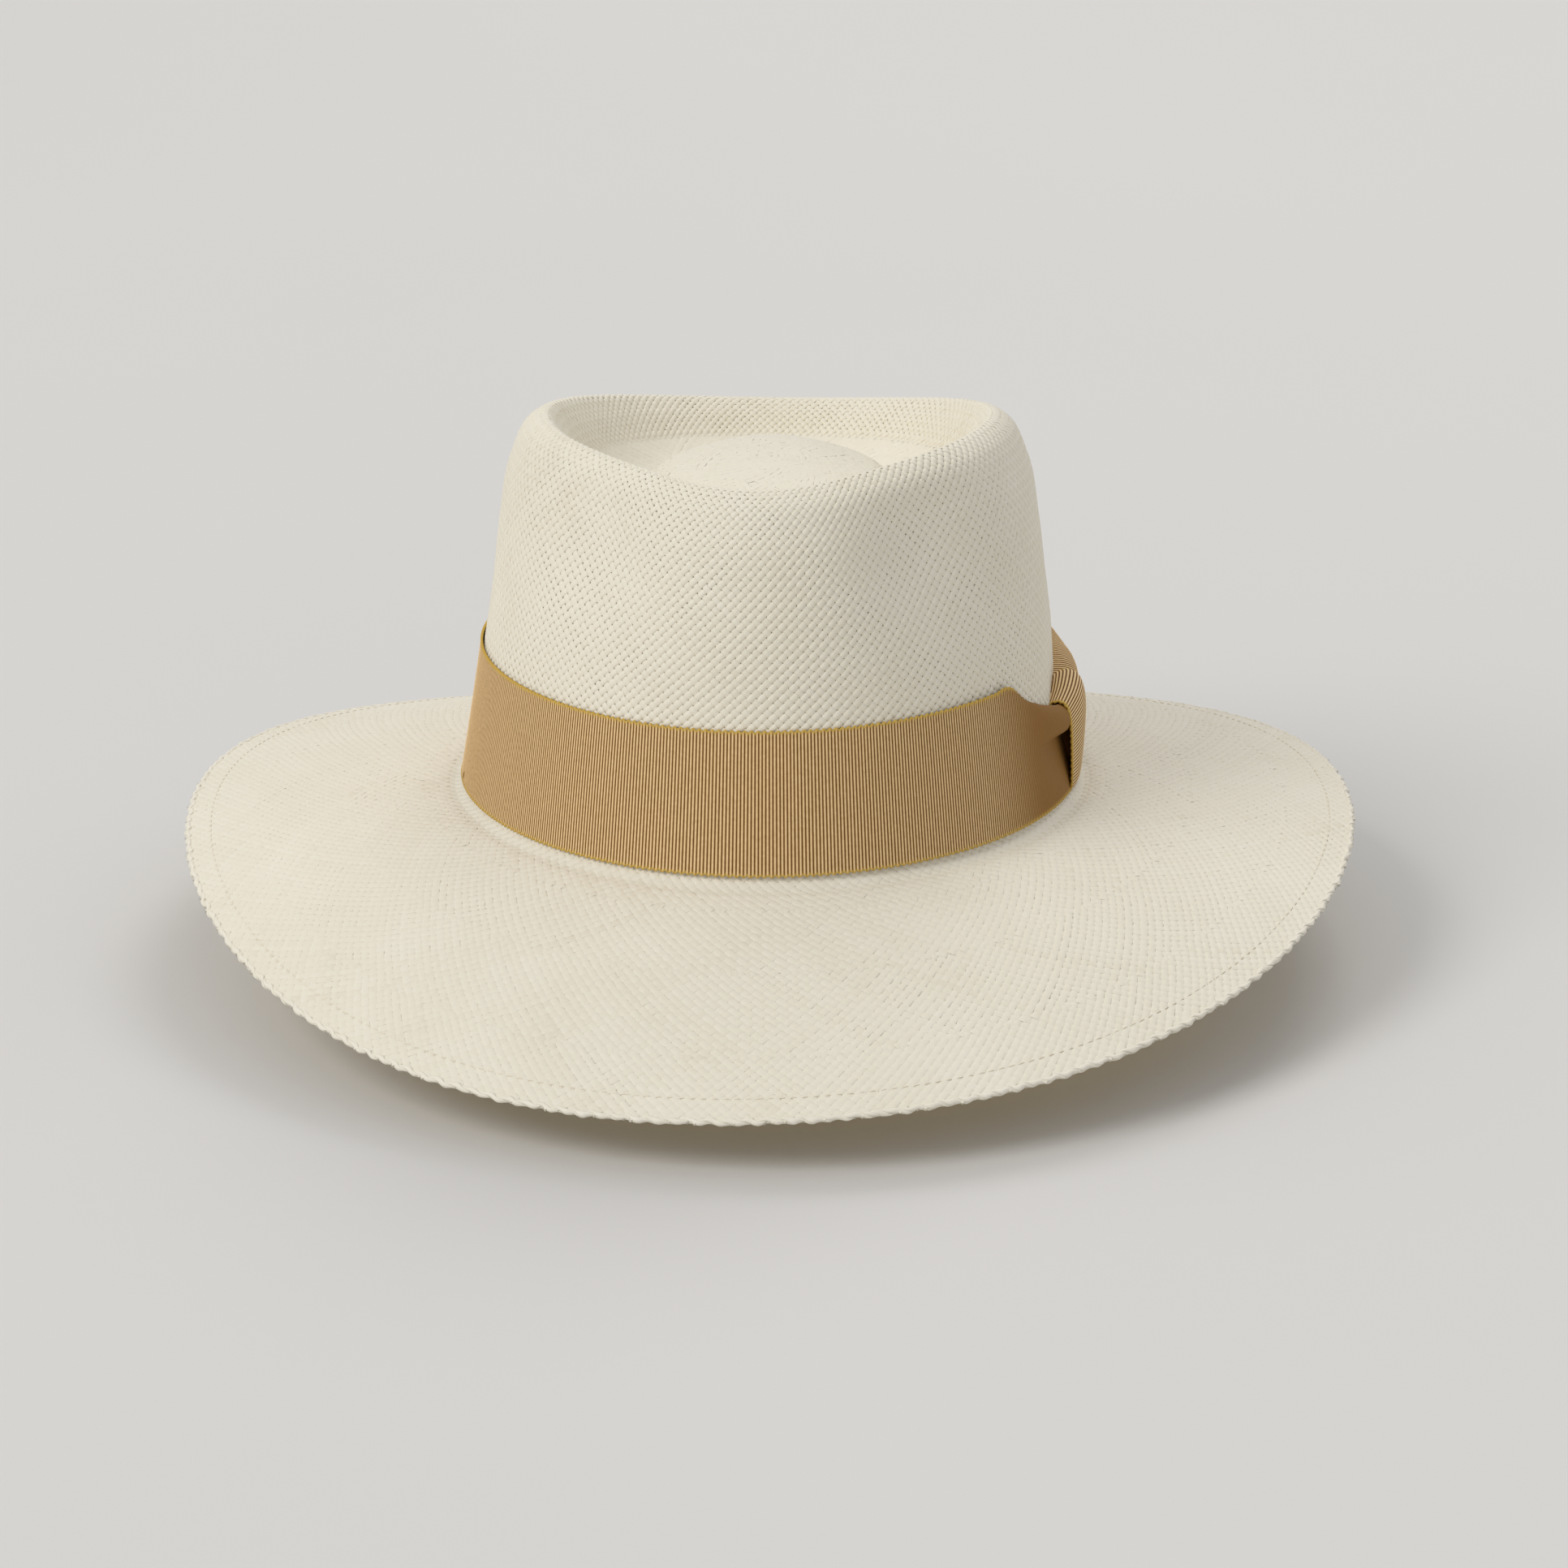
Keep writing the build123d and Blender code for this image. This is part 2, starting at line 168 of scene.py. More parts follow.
def edge_wobble(azimuth):
    """The finished edge is a row of uneven bumps, about 5 mm apart."""
    bumps = np.sin(203 * azimuth + 1.2 * np.sin(17 * azimuth)) + 0.5 * np.sin(131 * azimuth + 2.0)
    return 0.26 * bumps + 0.10 * np.sin(47 * azimuth)


def woven_surface(azimuth, station):
    """Middle of the weave and its outward normal. Past the edge it folds back underneath."""
    azimuth, station = np.broadcast_arrays(np.asarray(azimuth, float), np.asarray(station, float))
    over = np.clip(station - EDGE_STATION, 0, None)
    fold = np.clip(over / FOLD_RADIUS, 0, np.pi)
    back = np.clip(over - np.pi * FOLD_RADIUS, 0, None)
    flat = np.where(over > 0, EDGE_STATION - back, station)
    turn, step = 0.002, 0.2
    inner = np.maximum(flat, 2 * step)
    across = straw_top(azimuth + turn, inner) - straw_top(azimuth - turn, inner)
    down = straw_top(azimuth, np.minimum(inner + step, EDGE_STATION)) - straw_top(azimuth, inner - step)
    normal, down = unit(np.cross(down, across)), unit(down)
    points = straw_top(azimuth, flat) - normal * WEAVE_DEPTH
    fold = fold[..., None]
    points -= normal * FOLD_RADIUS * (1 - np.cos(fold))
    points += down * FOLD_RADIUS * np.sin(fold)
    turned = normal * np.cos(fold) + down * np.sin(fold)
    near_edge = np.clip(1 - (EDGE_STATION - flat) / BUMP_REACH, 0, 1)[..., None]
    points += down * near_edge * edge_wobble(azimuth)[..., None]
    return points, turned


# ---------------------------------------------------------------- mesh building
def new_mesh(name, points, quads, attributes=None):
    """A mesh object from points in mm, (n, 4) quads and named point attributes."""
    mesh = bpy.data.meshes.new(name)
    mesh.vertices.add(len(points))
    mesh.vertices.foreach_set("co", (np.asarray(points) / 1000).astype(np.float32).ravel())
    mesh.loops.add(quads.size)
    mesh.loops.foreach_set("vertex_index", quads.astype(np.int32).ravel())
    mesh.polygons.add(len(quads))
    mesh.polygons.foreach_set("loop_start", np.arange(0, quads.size, 4, dtype=np.int32))
    mesh.update(calc_edges=True)
    mesh.validate()
    mesh.polygons.foreach_set("use_smooth", np.ones(len(mesh.polygons), bool))
    for key, values in (attributes or {}).items():
        layer = mesh.attributes.new(key, "FLOAT", "POINT")
        layer.data.foreach_set("value", np.asarray(values, np.float32).ravel())
    piece = bpy.data.objects.new(name, mesh)
    bpy.context.scene.collection.objects.link(piece)
    return piece


def grid_quads(rows, columns, wrap_rows=False, wrap_columns=False):
    """Quads of a grid whose vertices are numbered row by row."""
    i = np.arange(rows if wrap_rows else rows - 1)
    j = np.arange(columns if wrap_columns else columns - 1)
    i, j = np.meshgrid(i, j, indexing="ij")
    right, below = (j + 1) % columns, (i + 1) % rows
    return np.stack([i * columns + j, i * columns + right, below * columns + right,
                     below * columns + j], axis=-1).reshape(-1, 4)


# A strand's section: a flattened hexagon, rounded by smooth shading.
STRAND_SECTION = np.array([(-0.5, -0.1), (-0.34, 0.33), (0.0, 0.5), (0.34, 0.33), (0.5, -0.1), (0.0, -0.5)])
# Two quads close each end of a strand: the corners of its section that they join.
FIRST_CAP = np.array([[5, 4, 1, 0], [4, 3, 2, 1]])
LAST_CAP = np.array([[0, 1, 4, 5], [1, 2, 3, 4]])


def tubes(centres, sideways, upwards, widths, heights, attributes, capped=False):
    """Points, quads and attributes of many tubes. centres is (tubes, samples, 3)."""
    count, samples = centres.shape[:2]
    around = len(STRAND_SECTION)
    side, lift = STRAND_SECTION.T
    points = (centres[:, :, None]
              + sideways[:, :, None] * (widths[..., None] * side)[..., None]
              + upwards[:, :, None] * (heights[..., None] * lift)[..., None])
    one = grid_quads(samples, around, wrap_columns=True)
    if capped:
        one = np.concatenate([one, FIRST_CAP, LAST_CAP + (samples - 1) * around])
    quads = (one[None] + (np.arange(count) * samples * around)[:, None, None]).reshape(-1, 4)
    spread = {key: np.repeat(values.reshape(count, samples, 1), around, axis=2)
              for key, values in attributes.items()}
    return points.reshape(-1, 3), quads, spread


# ---------------------------------------------------------------- the weave
ROW_SPACING = 1.375
CROSSING_STEPS = np.array([-0.31, 0.0, 0.31])     # samples before, on and after each crossing, in rows
CROSSING_CREST = np.array([0.55, 1.0, 0.55])      # share of the full rise at each of them

Zone = namedtuple("Zone", "start end strands")


def perimeter(station):
    return float(distance_along(straw_top(np.linspace(0, TURN, 181), station))[-1])


def strand_widths(count):
    """Width share of each strand in a family: most touch their neighbours and some are narrow."""
    share = 1.0 + 0.035 * RANDOM.standard_normal(count)
    slow = np.sin(np.linspace(0, TURN, count, endpoint=False) * 3 + RANDOM.uniform(0, TURN))
    narrow = RANDOM.random(count) < 0.13 + 0.09 * slow
    share[narrow] -= RANDOM.uniform(0.05, 0.15, narrow.sum())
    return np.clip(share, 0.8, 1.04)


def weave(name, zone, lift, height, parts=1, fullness=1.0, sink=0.2):
    """Both families of strands of a zone, each split into parts that are separate meshes.

    lift is the rise over a crossing and height a strand's thickness, in mm. fullness widens the
    strands, and sink lowers the zone's first crossing under the zone before it.
    """
    rows = max(2, int(round((zone.end - zone.start) / ROW_SPACING)))
    samples = len(CROSSING_STEPS)
    row = (np.arange(rows + 1)[:, None] + CROSSING_STEPS).ravel()
    station = zone.start + (zone.end - zone.start) * row / rows
    made = []
    for family, lean in (("a", 0.5), ("b", -0.5)):
        index = np.arange(zone.strands)
        azimuth = (index[:, None] + lean * row) / zone.strands * TURN
        centres, normals = woven_surface(azimuth, station[None] + 0 * azimuth)
        ahead = unit(np.gradient(centres, axis=1))
        sideways = unit(np.cross(normals, ahead))
        over = np.repeat(1 - 2 * (np.arange(rows + 1) % 2), samples) * (1.0 if family == "a" else -1.0)
        crest = np.tile(CROSSING_CREST, rows + 1)
        rise = lift * over * crest
        rise[:samples] -= sink
        # distance to the next strand of the family, measured square to the strand
        beside = np.roll(centres, -1, axis=0) - centres
        spacing = np.abs((beside * sideways).sum(-1))
        share = strand_widths(zone.strands)[:, None]
        wave = 1 + 0.02 * np.sin(row * 0.7 + RANDOM.uniform(0, TURN, (zone.strands, 1)))
        widths = spacing * share * wave * fullness * (0.93 + 0.10 * crest + 0.02 * over)
        uneven = 0.02 * RANDOM.standard_normal((zone.strands, 1))
        centres = centres + normals * (rise + uneven)[..., None]
        heights = np.full_like(widths, height)
        tone = np.repeat(RANDOM.normal(0, 1, (zone.strands, 1)), len(row), axis=1)
        tone = tone + 0.25 * RANDOM.standard_normal((zone.strands, len(row)))
        for part in range(parts):
            chosen = slice(part * zone.strands // parts, (part + 1) * zone.strands // parts)
            points, quads, spread = tubes(
                centres[chosen], sideways[chosen], normals[chosen], widths[chosen],
                heights[chosen], {"tone": tone[chosen]})
            made.append(new_mesh(f"{name}_{family}{part + 1}", points, quads, spread))
    return made


EDGE_TWIST_PITCH = 10.4        # two straws twist round each other along the very edge
EDGE_TWIST_RADIUS = 0.30
EDGE_TWIST_INSET = 0.30        # of the cord's middle inside the fold
EDGE_STRAW_WIDTH, EDGE_STRAW_HEIGHT = 1.7, 1.15
EDGE_SAMPLES = 2400


def twisted_edge(name):
    """The last two straws, twisted together round the brim's edge."""
    count = EDGE_SAMPLES
    azimuth = np.linspace(0, TURN, count)
    middle, outward = woven_surface(azimuth, np.full(count, EDGE_STATION + FOLD_RADIUS * math.pi / 2))
    length = distance_along(middle)
    ahead = unit(np.gradient(middle, axis=0))
    upward = np.cross(ahead, outward)
    centres, sideways, normals = [], [], []
    for strand in range(2):
        turn = TURN * length / EDGE_TWIST_PITCH + strand * math.pi + 0.5 * np.sin(11 * azimuth)
        out = np.cos(turn)[:, None] * outward + np.sin(turn)[:, None] * upward
        centres.append(middle + EDGE_TWIST_RADIUS * out - EDGE_TWIST_INSET * outward)
        normals.append(out)
        sideways.append(np.cross(out, ahead))
    shape = (2, count)
    widths = EDGE_STRAW_WIDTH + 0.2 * np.sin(length / 3.1)[None] * np.ones(shape)
    tone = 4.0 + 1.0 * np.sin(length / 2.3)[None] * np.ones(shape)
    points, quads, spread = tubes(np.array(centres), np.array(sideways), np.array(normals), widths,
                                  np.full(shape, EDGE_STRAW_HEIGHT), {"tone": tone})
    return new_mesh(name, points, quads, spread)


HIDDEN_START, HIDDEN_END = station_of(12.3), station_of(12.9)   # covered by band and sweatband
FOLD_ROWS = 5             # of weave in the hem under the edge
straw_pieces = []
# Each zone starts under the end of the one before it and has more strands, as new ones were added there.
dome_zones = [
    Zone(0.3, 4.2, 6), Zone(3.4, 7.0, 10), Zone(6.2, 11.0, 18), Zone(10.0, 16.5, 29),
    Zone(15.4, 25.0, 44), Zone(23.8, 38.0, 66), Zone(36.8, 52.5, 94), Zone(51.2, 66.5, 122),
]
for number, zone in enumerate(dome_zones):
    straw_pieces += weave(f"straw_dome{number + 1}", zone, lift=0.02, height=0.14, fullness=1.28,
                          sink=0.12 if number else 0.0)
straw_pieces += weave("straw_crown", Zone(65.2, HIDDEN_START, 166), parts=3, lift=0.20, height=0.55)
brim_zones = [Zone(HIDDEN_END, 200.0, 176), Zone(198.8, 222.0, 211), Zone(220.8, 249.0, 253)]
for number, zone in enumerate(brim_zones):
    straw_pieces += weave(f"straw_brim{number + 1}", zone, lift=0.07, height=0.30, fullness=1.18)
fold_end = EDGE_STATION + math.pi * FOLD_RADIUS / 2 + ROW_SPACING * FOLD_ROWS
hem_start = EDGE_STATION + math.pi * FOLD_RADIUS + 0.45
for name, zone in (("straw_brim_edge", Zone(247.8, EDGE_STATION - 0.45, 304)),
                   ("straw_hem", Zone(hem_start, fold_end, 304))):
    straw_pieces += weave(name, zone, lift=0.07, height=0.34, fullness=1.18)
straw_pieces.append(twisted_edge("straw_edge_twist"))


# ---------------------------------------------------------------- ribbon band and bow
RIB_PITCH = 0.95
RIB_SAMPLES = 6
RIB_DEPTH = 0.16
SCALLOP_PITCH = 1.8
BAND_SCALLOP = 0.0055          # half the depth of the band's scallops, as a share of its height
KNOT_SCALLOP_DEPTH = 0.55
RIBBON_THICKNESS = 0.45
BAND_START, BAND_END = -5.0, -353.0      # degrees: the band runs from inside the knot round the front
REAR_START = -300.0                      # degrees: past here the band narrows behind the rear loop
REAR_NARROWING = 0.36                    # share of the band's height that it loses there
RIBS_CLOSE_FROM, RIBS_CLOSE_TO = -43.0, -21.0   # degrees: the ribs close up towards the gather
GATHER_START, THROAT = -34.0, -9.5       # degrees: where the gather begins, and the knot's front edge


def on_band(azimuth, proud, share):
    """Points at a share of the band's height and a distance out from its surface."""
    foot, top = oval(RIBBON_FOOT, azimuth), oval(RIBBON_TOP, azimuth)
    outward = np.stack([np.cos(azimuth), np.sin(azimuth), np.zeros_like(azimuth)], axis=-1)
    turn = np.abs(np.degrees((azimuth + math.pi) % TURN - math.pi))
    snug = (0.35 + 0.55 * np.cos(azimuth) ** 2) * (1 - np.exp(-((turn / 48.0) ** 4)))
    proud = proud - snug * np.clip(share, 0, 1)      # the upper edge lies closer to the straw
    return foot + (top - foot) * share[..., None] + outward * proud[..., None]


def even_azimuths(start, end):
    """Azimuths evenly along the band, each one's distance along it in mm, and the number of ribs."""
    fine = np.radians(np.linspace(start, end, 4000))
    loop = on_band(fine, np.zeros(len(fine)), np.full(len(fine), 0.5))
    length = distance_along(loop)
    ribs = int(length[-1] / RIB_PITCH)
    along = np.arange(ribs * RIB_SAMPLES + 1) * (length[-1] / (ribs * RIB_SAMPLES))
    return np.interp(along, length, fine), along, ribs


def rib_height(phase):
    """0 in the groove between two ribs and 1 on a rib's crest."""
    return np.abs(np.sin(np.pi * phase)) ** 0.7


def grid_normals(points):
    """Unit normals of a grid of points."""
    du, dv = np.gradient(points, axis=0), np.gradient(points, axis=1)
    normal = np.cross(du, dv)
    return normal / np.maximum(np.linalg.norm(normal, axis=-1, keepdims=True), 1e-9)


# The band's section at the throat: distance out from the band's surface and share of its height.
THROAT_SECTION = np.array([
    (0.00, -0.2, 0.000), (0.10, -0.6, 0.085), (0.20, -1.2, 0.175), (0.30, -1.9, 0.270),
    (0.38, -2.3, 0.350), (0.45, -2.4, 0.405), (0.50, -1.4, 0.425), (0.56, 0.1, 0.435),
    (0.62, 1.2, 0.455), (0.68, 1.9, 0.495), (0.74, 2.1, 0.540), (0.80, 1.7, 0.583),
    (0.86, 0.7, 0.615), (0.92, -0.6, 0.635), (0.96, -1.7, 0.628), (1.00, -2.5, 0.600)])
# How far the band has taken that section, by degrees from the bow.
GATHER_TOP = np.array([
    (-36.0, 0.0), (-33.0, -0.03), (-31.0, 0.03), (-29.0, 0.17), (-27.0, 0.32), (-24.5, 0.45),
    (-22.0, 0.55), (-18.0, 0.70), (-14.0, 0.84), (-11.5, 0.94), (-9.5, 1.0)])


def smoothstep(value):
    value = np.clip(value, 0, 1)
    return value * value * (3 - 2 * value)


def make_band():
    azimuth, along, ribs = even_azimuths(BAND_START, BAND_END)
    degrees = np.degrees(azimuth)
    inner = np.array([0.0, 0.008, 0.018, 0.035, 0.08, 0.14, 0.20, 0.26, 0.32, 0.37, 0.41, 0.44, 0.47,
                      0.50, 0.53, 0.57, 0.61, 0.65, 0.69, 0.73, 0.77, 0.81, 0.85, 0.89, 0.93, 0.965,
                      0.982, 0.992, 1.0])
    share = np.concatenate([[0.004, 0.0], inner, [1.0, 0.996]])
    tuck = np.concatenate([[-0.55, -0.25], np.zeros(len(inner)), [-0.25, -0.55]])
    top = smooth_through(GATHER_TOP[:, 0], GATHER_TOP[:, 1], degrees)
    top = np.where(degrees < GATHER_TOP[0, 0], 0.0, np.minimum(top, 1.0))
    rear = degrees < REAR_START
    top = np.where(rear, np.exp(-(((degrees + 360) / 26.0) ** 4)), top)
    bulge = smoothstep((degrees - GATHER_START) / (THROAT - GATHER_START))
    throat_out = np.interp(share, THROAT_SECTION[:, 0], THROAT_SECTION[:, 1])
    throat_up = np.interp(share, THROAT_SECTION[:, 0], THROAT_SECTION[:, 2])
    up = share[:, None] + (throat_up - share)[:, None] * top[None]
    up = np.where(rear[None], share[:, None] * (1 - REAR_NARROWING * top[None]), up)
    out = throat_out[:, None] * bulge[None] ** 1.25
    # soft folds that run out of the throat
    fan = bulge * (1 - bulge) * 4
    out = out + fan[None] * 0.35 * np.sin(share[:, None] * 9.0 - 1.0) * (share[:, None] > 0.05)
    ease = 0.10 * np.sin(azimuth * 5 + 0.5) + 0.08 * np.sin(azimuth * 9 + 2)
    out = out + ease[None] * np.sin(np.pi * share)[:, None] + tuck[:, None]
    scallop = np.cos(TURN * along / SCALLOP_PITCH)
    edge = np.where(share[:, None] < 0.02, -1.0, 0.0) + np.where(share[:, None] > 0.98, 1.0, 0.0)
    up = up + edge * BAND_SCALLOP * scallop[None]
    points = on_band(np.broadcast_to(azimuth, up.shape), out, up)
    normals = -grid_normals(points)
    phase = along / (along[-1] / ribs)
    rib = rib_height(phase)
    # the ribs flatten towards the gather, and their painted highlight and shade fade with them
    fade = 1 - 0.85 * smoothstep((degrees - RIBS_CLOSE_FROM) / (RIBS_CLOSE_TO - RIBS_CLOSE_FROM))
    selvedge = np.clip(1 - np.minimum(share, 1 - share) / 0.02, 0, 1)[:, None] * np.ones_like(up)
    at_top = share[:, None] > 0.5
    hidden_edge = smoothstep((degrees + 31.5) / 3.0)
    selvedge = np.where(at_top, selvedge * (1 - hidden_edge)[None], selvedge)
    cord = 0.10 + 0.10 * (0.5 + 0.5 * scallop)
    lift = RIB_DEPTH * (rib - 1)[None] * fade[None] * (1 - selvedge) + selvedge * cord[None]
    outward = np.stack([np.cos(azimuth), np.sin(azimuth), 0 * azimuth], axis=-1)[None]
    sign = np.sign((normals * outward).sum(-1, keepdims=True).mean())
    points = points + normals * sign * lift[..., None]
    rows, columns = up.shape
    quads = grid_quads(rows, columns)
    quads = quads[:, ::-1] if sign > 0 else quads
    attributes = {"rib": np.broadcast_to(rib, up.shape), "selvedge": selvedge,
                  "fade": np.broadcast_to(fade, up.shape)}
    return new_mesh("ribbon_band", points.reshape(-1, 3), quads, attributes)


def section_between(stations, sections, degrees):
    """Sections interpolated along the bow: (azimuths, points in a section, 2)."""
    sections = np.array(sections, float)
    result = np.empty((len(degrees),) + sections.shape[1:])
    for i in range(sections.shape[1]):
        for k in range(2):
            result[:, i, k] = smooth_through(stations, sections[:, i, k], degrees)
    return result


def smooth_through(x, y, wanted):
    """A smooth curve through points, without overshoot at its ends."""
    x, y = np.asarray(x, float), np.asarray(y, float)
    slope = np.gradient(y, x)
    low = np.clip(np.searchsorted(x, wanted, side="right") - 1, 0, len(x) - 2)
    gap = x[low + 1] - x[low]
    u = np.clip((wanted - x[low]) / gap, 0, 1)
    return hermite(u, y[low], slope[low] * gap, y[low + 1], slope[low + 1] * gap)


KNOT_STATIONS = [-9.5, -5.0, 0.0, 4.5, 7.6]
KNOT_SECTIONS = [   # from the top, where it comes out from behind the bow, round to the bottom
    [(-5.0, .600), (-2.6, .645), (-.4, .655), (1.1, .630), (1.9, .580), (2.1, .500),
     (1.9, .400), (1.4, .260), (.8, .120), (.2, .020), (-.6, -.020), (-1.0, .01)],
    [(-5.0, .640), (-2.4, .685), (.4, .700), (2.4, .675), (3.4, .610), (3.6, .510),
     (3.2, .400), (2.4, .250), (1.5, .110), (.5, .005), (-.6, -.030), (-1.0, .01)],
    [(-5.0, .670), (-2.4, .715), (.9, .735), (3.3, .700), (4.3, .620), (4.4, .520),
     (3.8, .400), (2.7, .240), (1.6, .100), (.5, -.005), (-.6, -.035), (-1.0, .01)],
    [(-5.0, .665), (-2.4, .705), (.8, .725), (3.0, .695), (4.0, .620), (4.1, .520),
     (3.6, .400), (2.6, .240), (1.5, .100), (.5, -.005), (-.6, -.035), (-1.0, .01)],
    [(-5.0, .640), (-2.4, .675), (.2, .695), (2.2, .670), (3.1, .600), (3.3, .500),
     (2.9, .390), (2.1, .240), (1.2, .110), (.4, .005), (-.6, -.030), (-1.0, .01)],
]


def resampled(section, count):
    """Points spread evenly along each section's smooth curve, as (azimuths, count, 3)."""
    knots = np.arange(section.shape[1])
    fine = np.linspace(0, section.shape[1] - 1, 240)
    curve = np.stack([[smooth_through(knots, row[:, k], fine) for k in range(section.shape[2])]
                      for row in section])
    curve = np.moveaxis(curve, 1, 2)
    length = np.linalg.norm(np.diff(curve, axis=1), axis=-1)
    length = np.concatenate([np.zeros((len(curve), 1)), np.cumsum(length, axis=1)], axis=1)
    wanted = np.linspace(0, 1, count)
    return np.stack([np.stack([np.interp(wanted * total[-1], total, row[:, k])
                               for k in range(section.shape[2])], axis=-1)
                     for row, total in zip(curve, length)]), float(length[:, -1].mean())


def make_knot():
    """The ribbon round the middle of the bow: its ribs run across it, so along the hat."""
    degrees = np.concatenate([[-9.5, -9.4, -9.2, -8.9], np.linspace(-8.4, 6.6, 15), [7.1, 7.35, 7.5, 7.6]])
    section = section_between(KNOT_STATIONS, KNOT_SECTIONS, degrees)
    azimuth = np.radians(degrees)[:, None] * np.ones(section.shape[1])
    points3 = on_band(azimuth, section[..., 0], section[..., 1])
    _, total = resampled(points3, 100)
    ribs = int(total / RIB_PITCH)
    points, _ = resampled(points3, ribs * RIB_SAMPLES + 1)
    normals = grid_normals(points)
    outward = np.array([1.0, 0.0, 0.15])
    sign = np.sign((normals * outward).sum(-1).mean())
    normals = normals * sign
    phase = np.arange(points.shape[1]) / RIB_SAMPLES
    rib = rib_height(phase)[None] * np.ones(points.shape[:2])
    side = np.arange(len(degrees))
    from_edge = np.minimum(side, side[::-1])
    selvedge = np.array([1.0, 1.0, 0.8, 0.2])[np.clip(from_edge, 0, 3)] * (from_edge < 4)
    scallop = 0.5 + 0.5 * np.cos(math.pi * np.arange(points.shape[1]) / RIB_SAMPLES)
    selvedge = selvedge[:, None] * np.ones(points.shape[:2])
    along = unit(np.gradient(points, axis=0))
    push = np.zeros(len(degrees))
    push[:3], push[-3:] = -1, 1
    points = points + along * (push[:, None] * KNOT_SCALLOP_DEPTH * scallop[None])[..., None]
    lift = RIB_DEPTH * (rib - 1) * (1 - selvedge) + 0.12 * selvedge * scallop[None]
    outer = points + normals * lift[..., None]
    inner = points - normals * RIBBON_THICKNESS
    rows, columns = points.shape[:2]
    both = np.concatenate([outer, inner[::-1]], axis=0)
    # a fade above 1 strengthens the ribs' painted highlight and shade
    attributes = {"rib": np.concatenate([rib, 0.6 + 0 * rib]),
                  "selvedge": np.concatenate([selvedge, selvedge[::-1]]),
                  "fade": np.full((2 * rows, columns), 1.35)}
    quads = grid_quads(2 * rows, columns, wrap_rows=True)
    return new_mesh("bow_knot_ribbon", both.reshape(-1, 3), quads if sign < 0 else quads[:, ::-1], attributes)


LOOP_STATIONS = [-6.0, 2.0, 6.0, 8.5, 11.0, 14.0, 18.0, 23.0, 28.0, 31.0]
LOOP_SECTIONS = [   # from the top inner side over the outer side to the bottom, and back inside
    [(-5.0, .52), (-2.4, .53), (-.4, .50), (.3, .43), (.5, .36), (.3, .28),
     (-.2, .21), (-1.0, .16), (-1.6, .16), (-2.4, .24), (-3.8, .34)],
    [(-5.4, .60), (-2.8, .61), (-.2, .585), (1.2, .53), (1.5, .43), (1.3, .31),
     (.7, .19), (-.3, .11), (-1.4, .10), (-2.4, .20), (-4.0, .40)],
    [(-5.4, .64), (-2.8, .655), (.2, .64), (2.0, .59), (2.5, .48), (2.4, .34),
     (1.6, .19), (.4, .07), (-1.0, .06), (-2.2, .18), (-4.0, .45)],
    [(-5.0, .69), (-2.8, .70), (.6, .685), (2.8, .64), (3.2, .51), (3.1, .36),
     (2.3, .19), (.9, .06), (-.6, .05), (-1.4, .18), (-3.6, .50)],
    [(-4.4, .735), (-2.2, .745), (1.0, .725), (3.1, .675), (3.7, .55), (3.7, .37),
     (2.9, .18), (1.4, .045), (-.2, .03), (-.6, .18), (-3.0, .54)],
    [(-3.4, .775), (-1.4, .785), (1.5, .755), (3.3, .70), (4.0, .57), (4.1, .38),
     (3.3, .18), (1.7, .035), (.2, .02), (-.2, .18), (-2.0, .58)],
    [(-2.2, .815), (-.6, .812), (1.7, .775), (3.2, .72), (4.2, .59), (4.3, .39),
     (3.5, .18), (1.8, .03), (.4, .01), (.3, .18), (-1.0, .62)],
    [(-.8, .865), (.2, .865), (1.8, .82), (2.8, .75), (3.7, .62), (3.8, .40),
     (3.0, .18), (1.6, .02), (.5, .0), (.3, .18), (-.2, .64)],
    [(.1, .91), (.6, .91), (1.5, .86), (2.1, .77), (2.5, .65), (2.5, .40),
     (1.9, .17), (1.0, .01), (.5, .0), (.3, .18), (.3, .66)],
    [(.2, .925), (.4, .92), (.7, .87), (.9, .77), (1.0, .65), (1.0, .40),
     (.9, .17), (.6, .01), (.5, .0), (.3, .18), (.3, .66)],
]


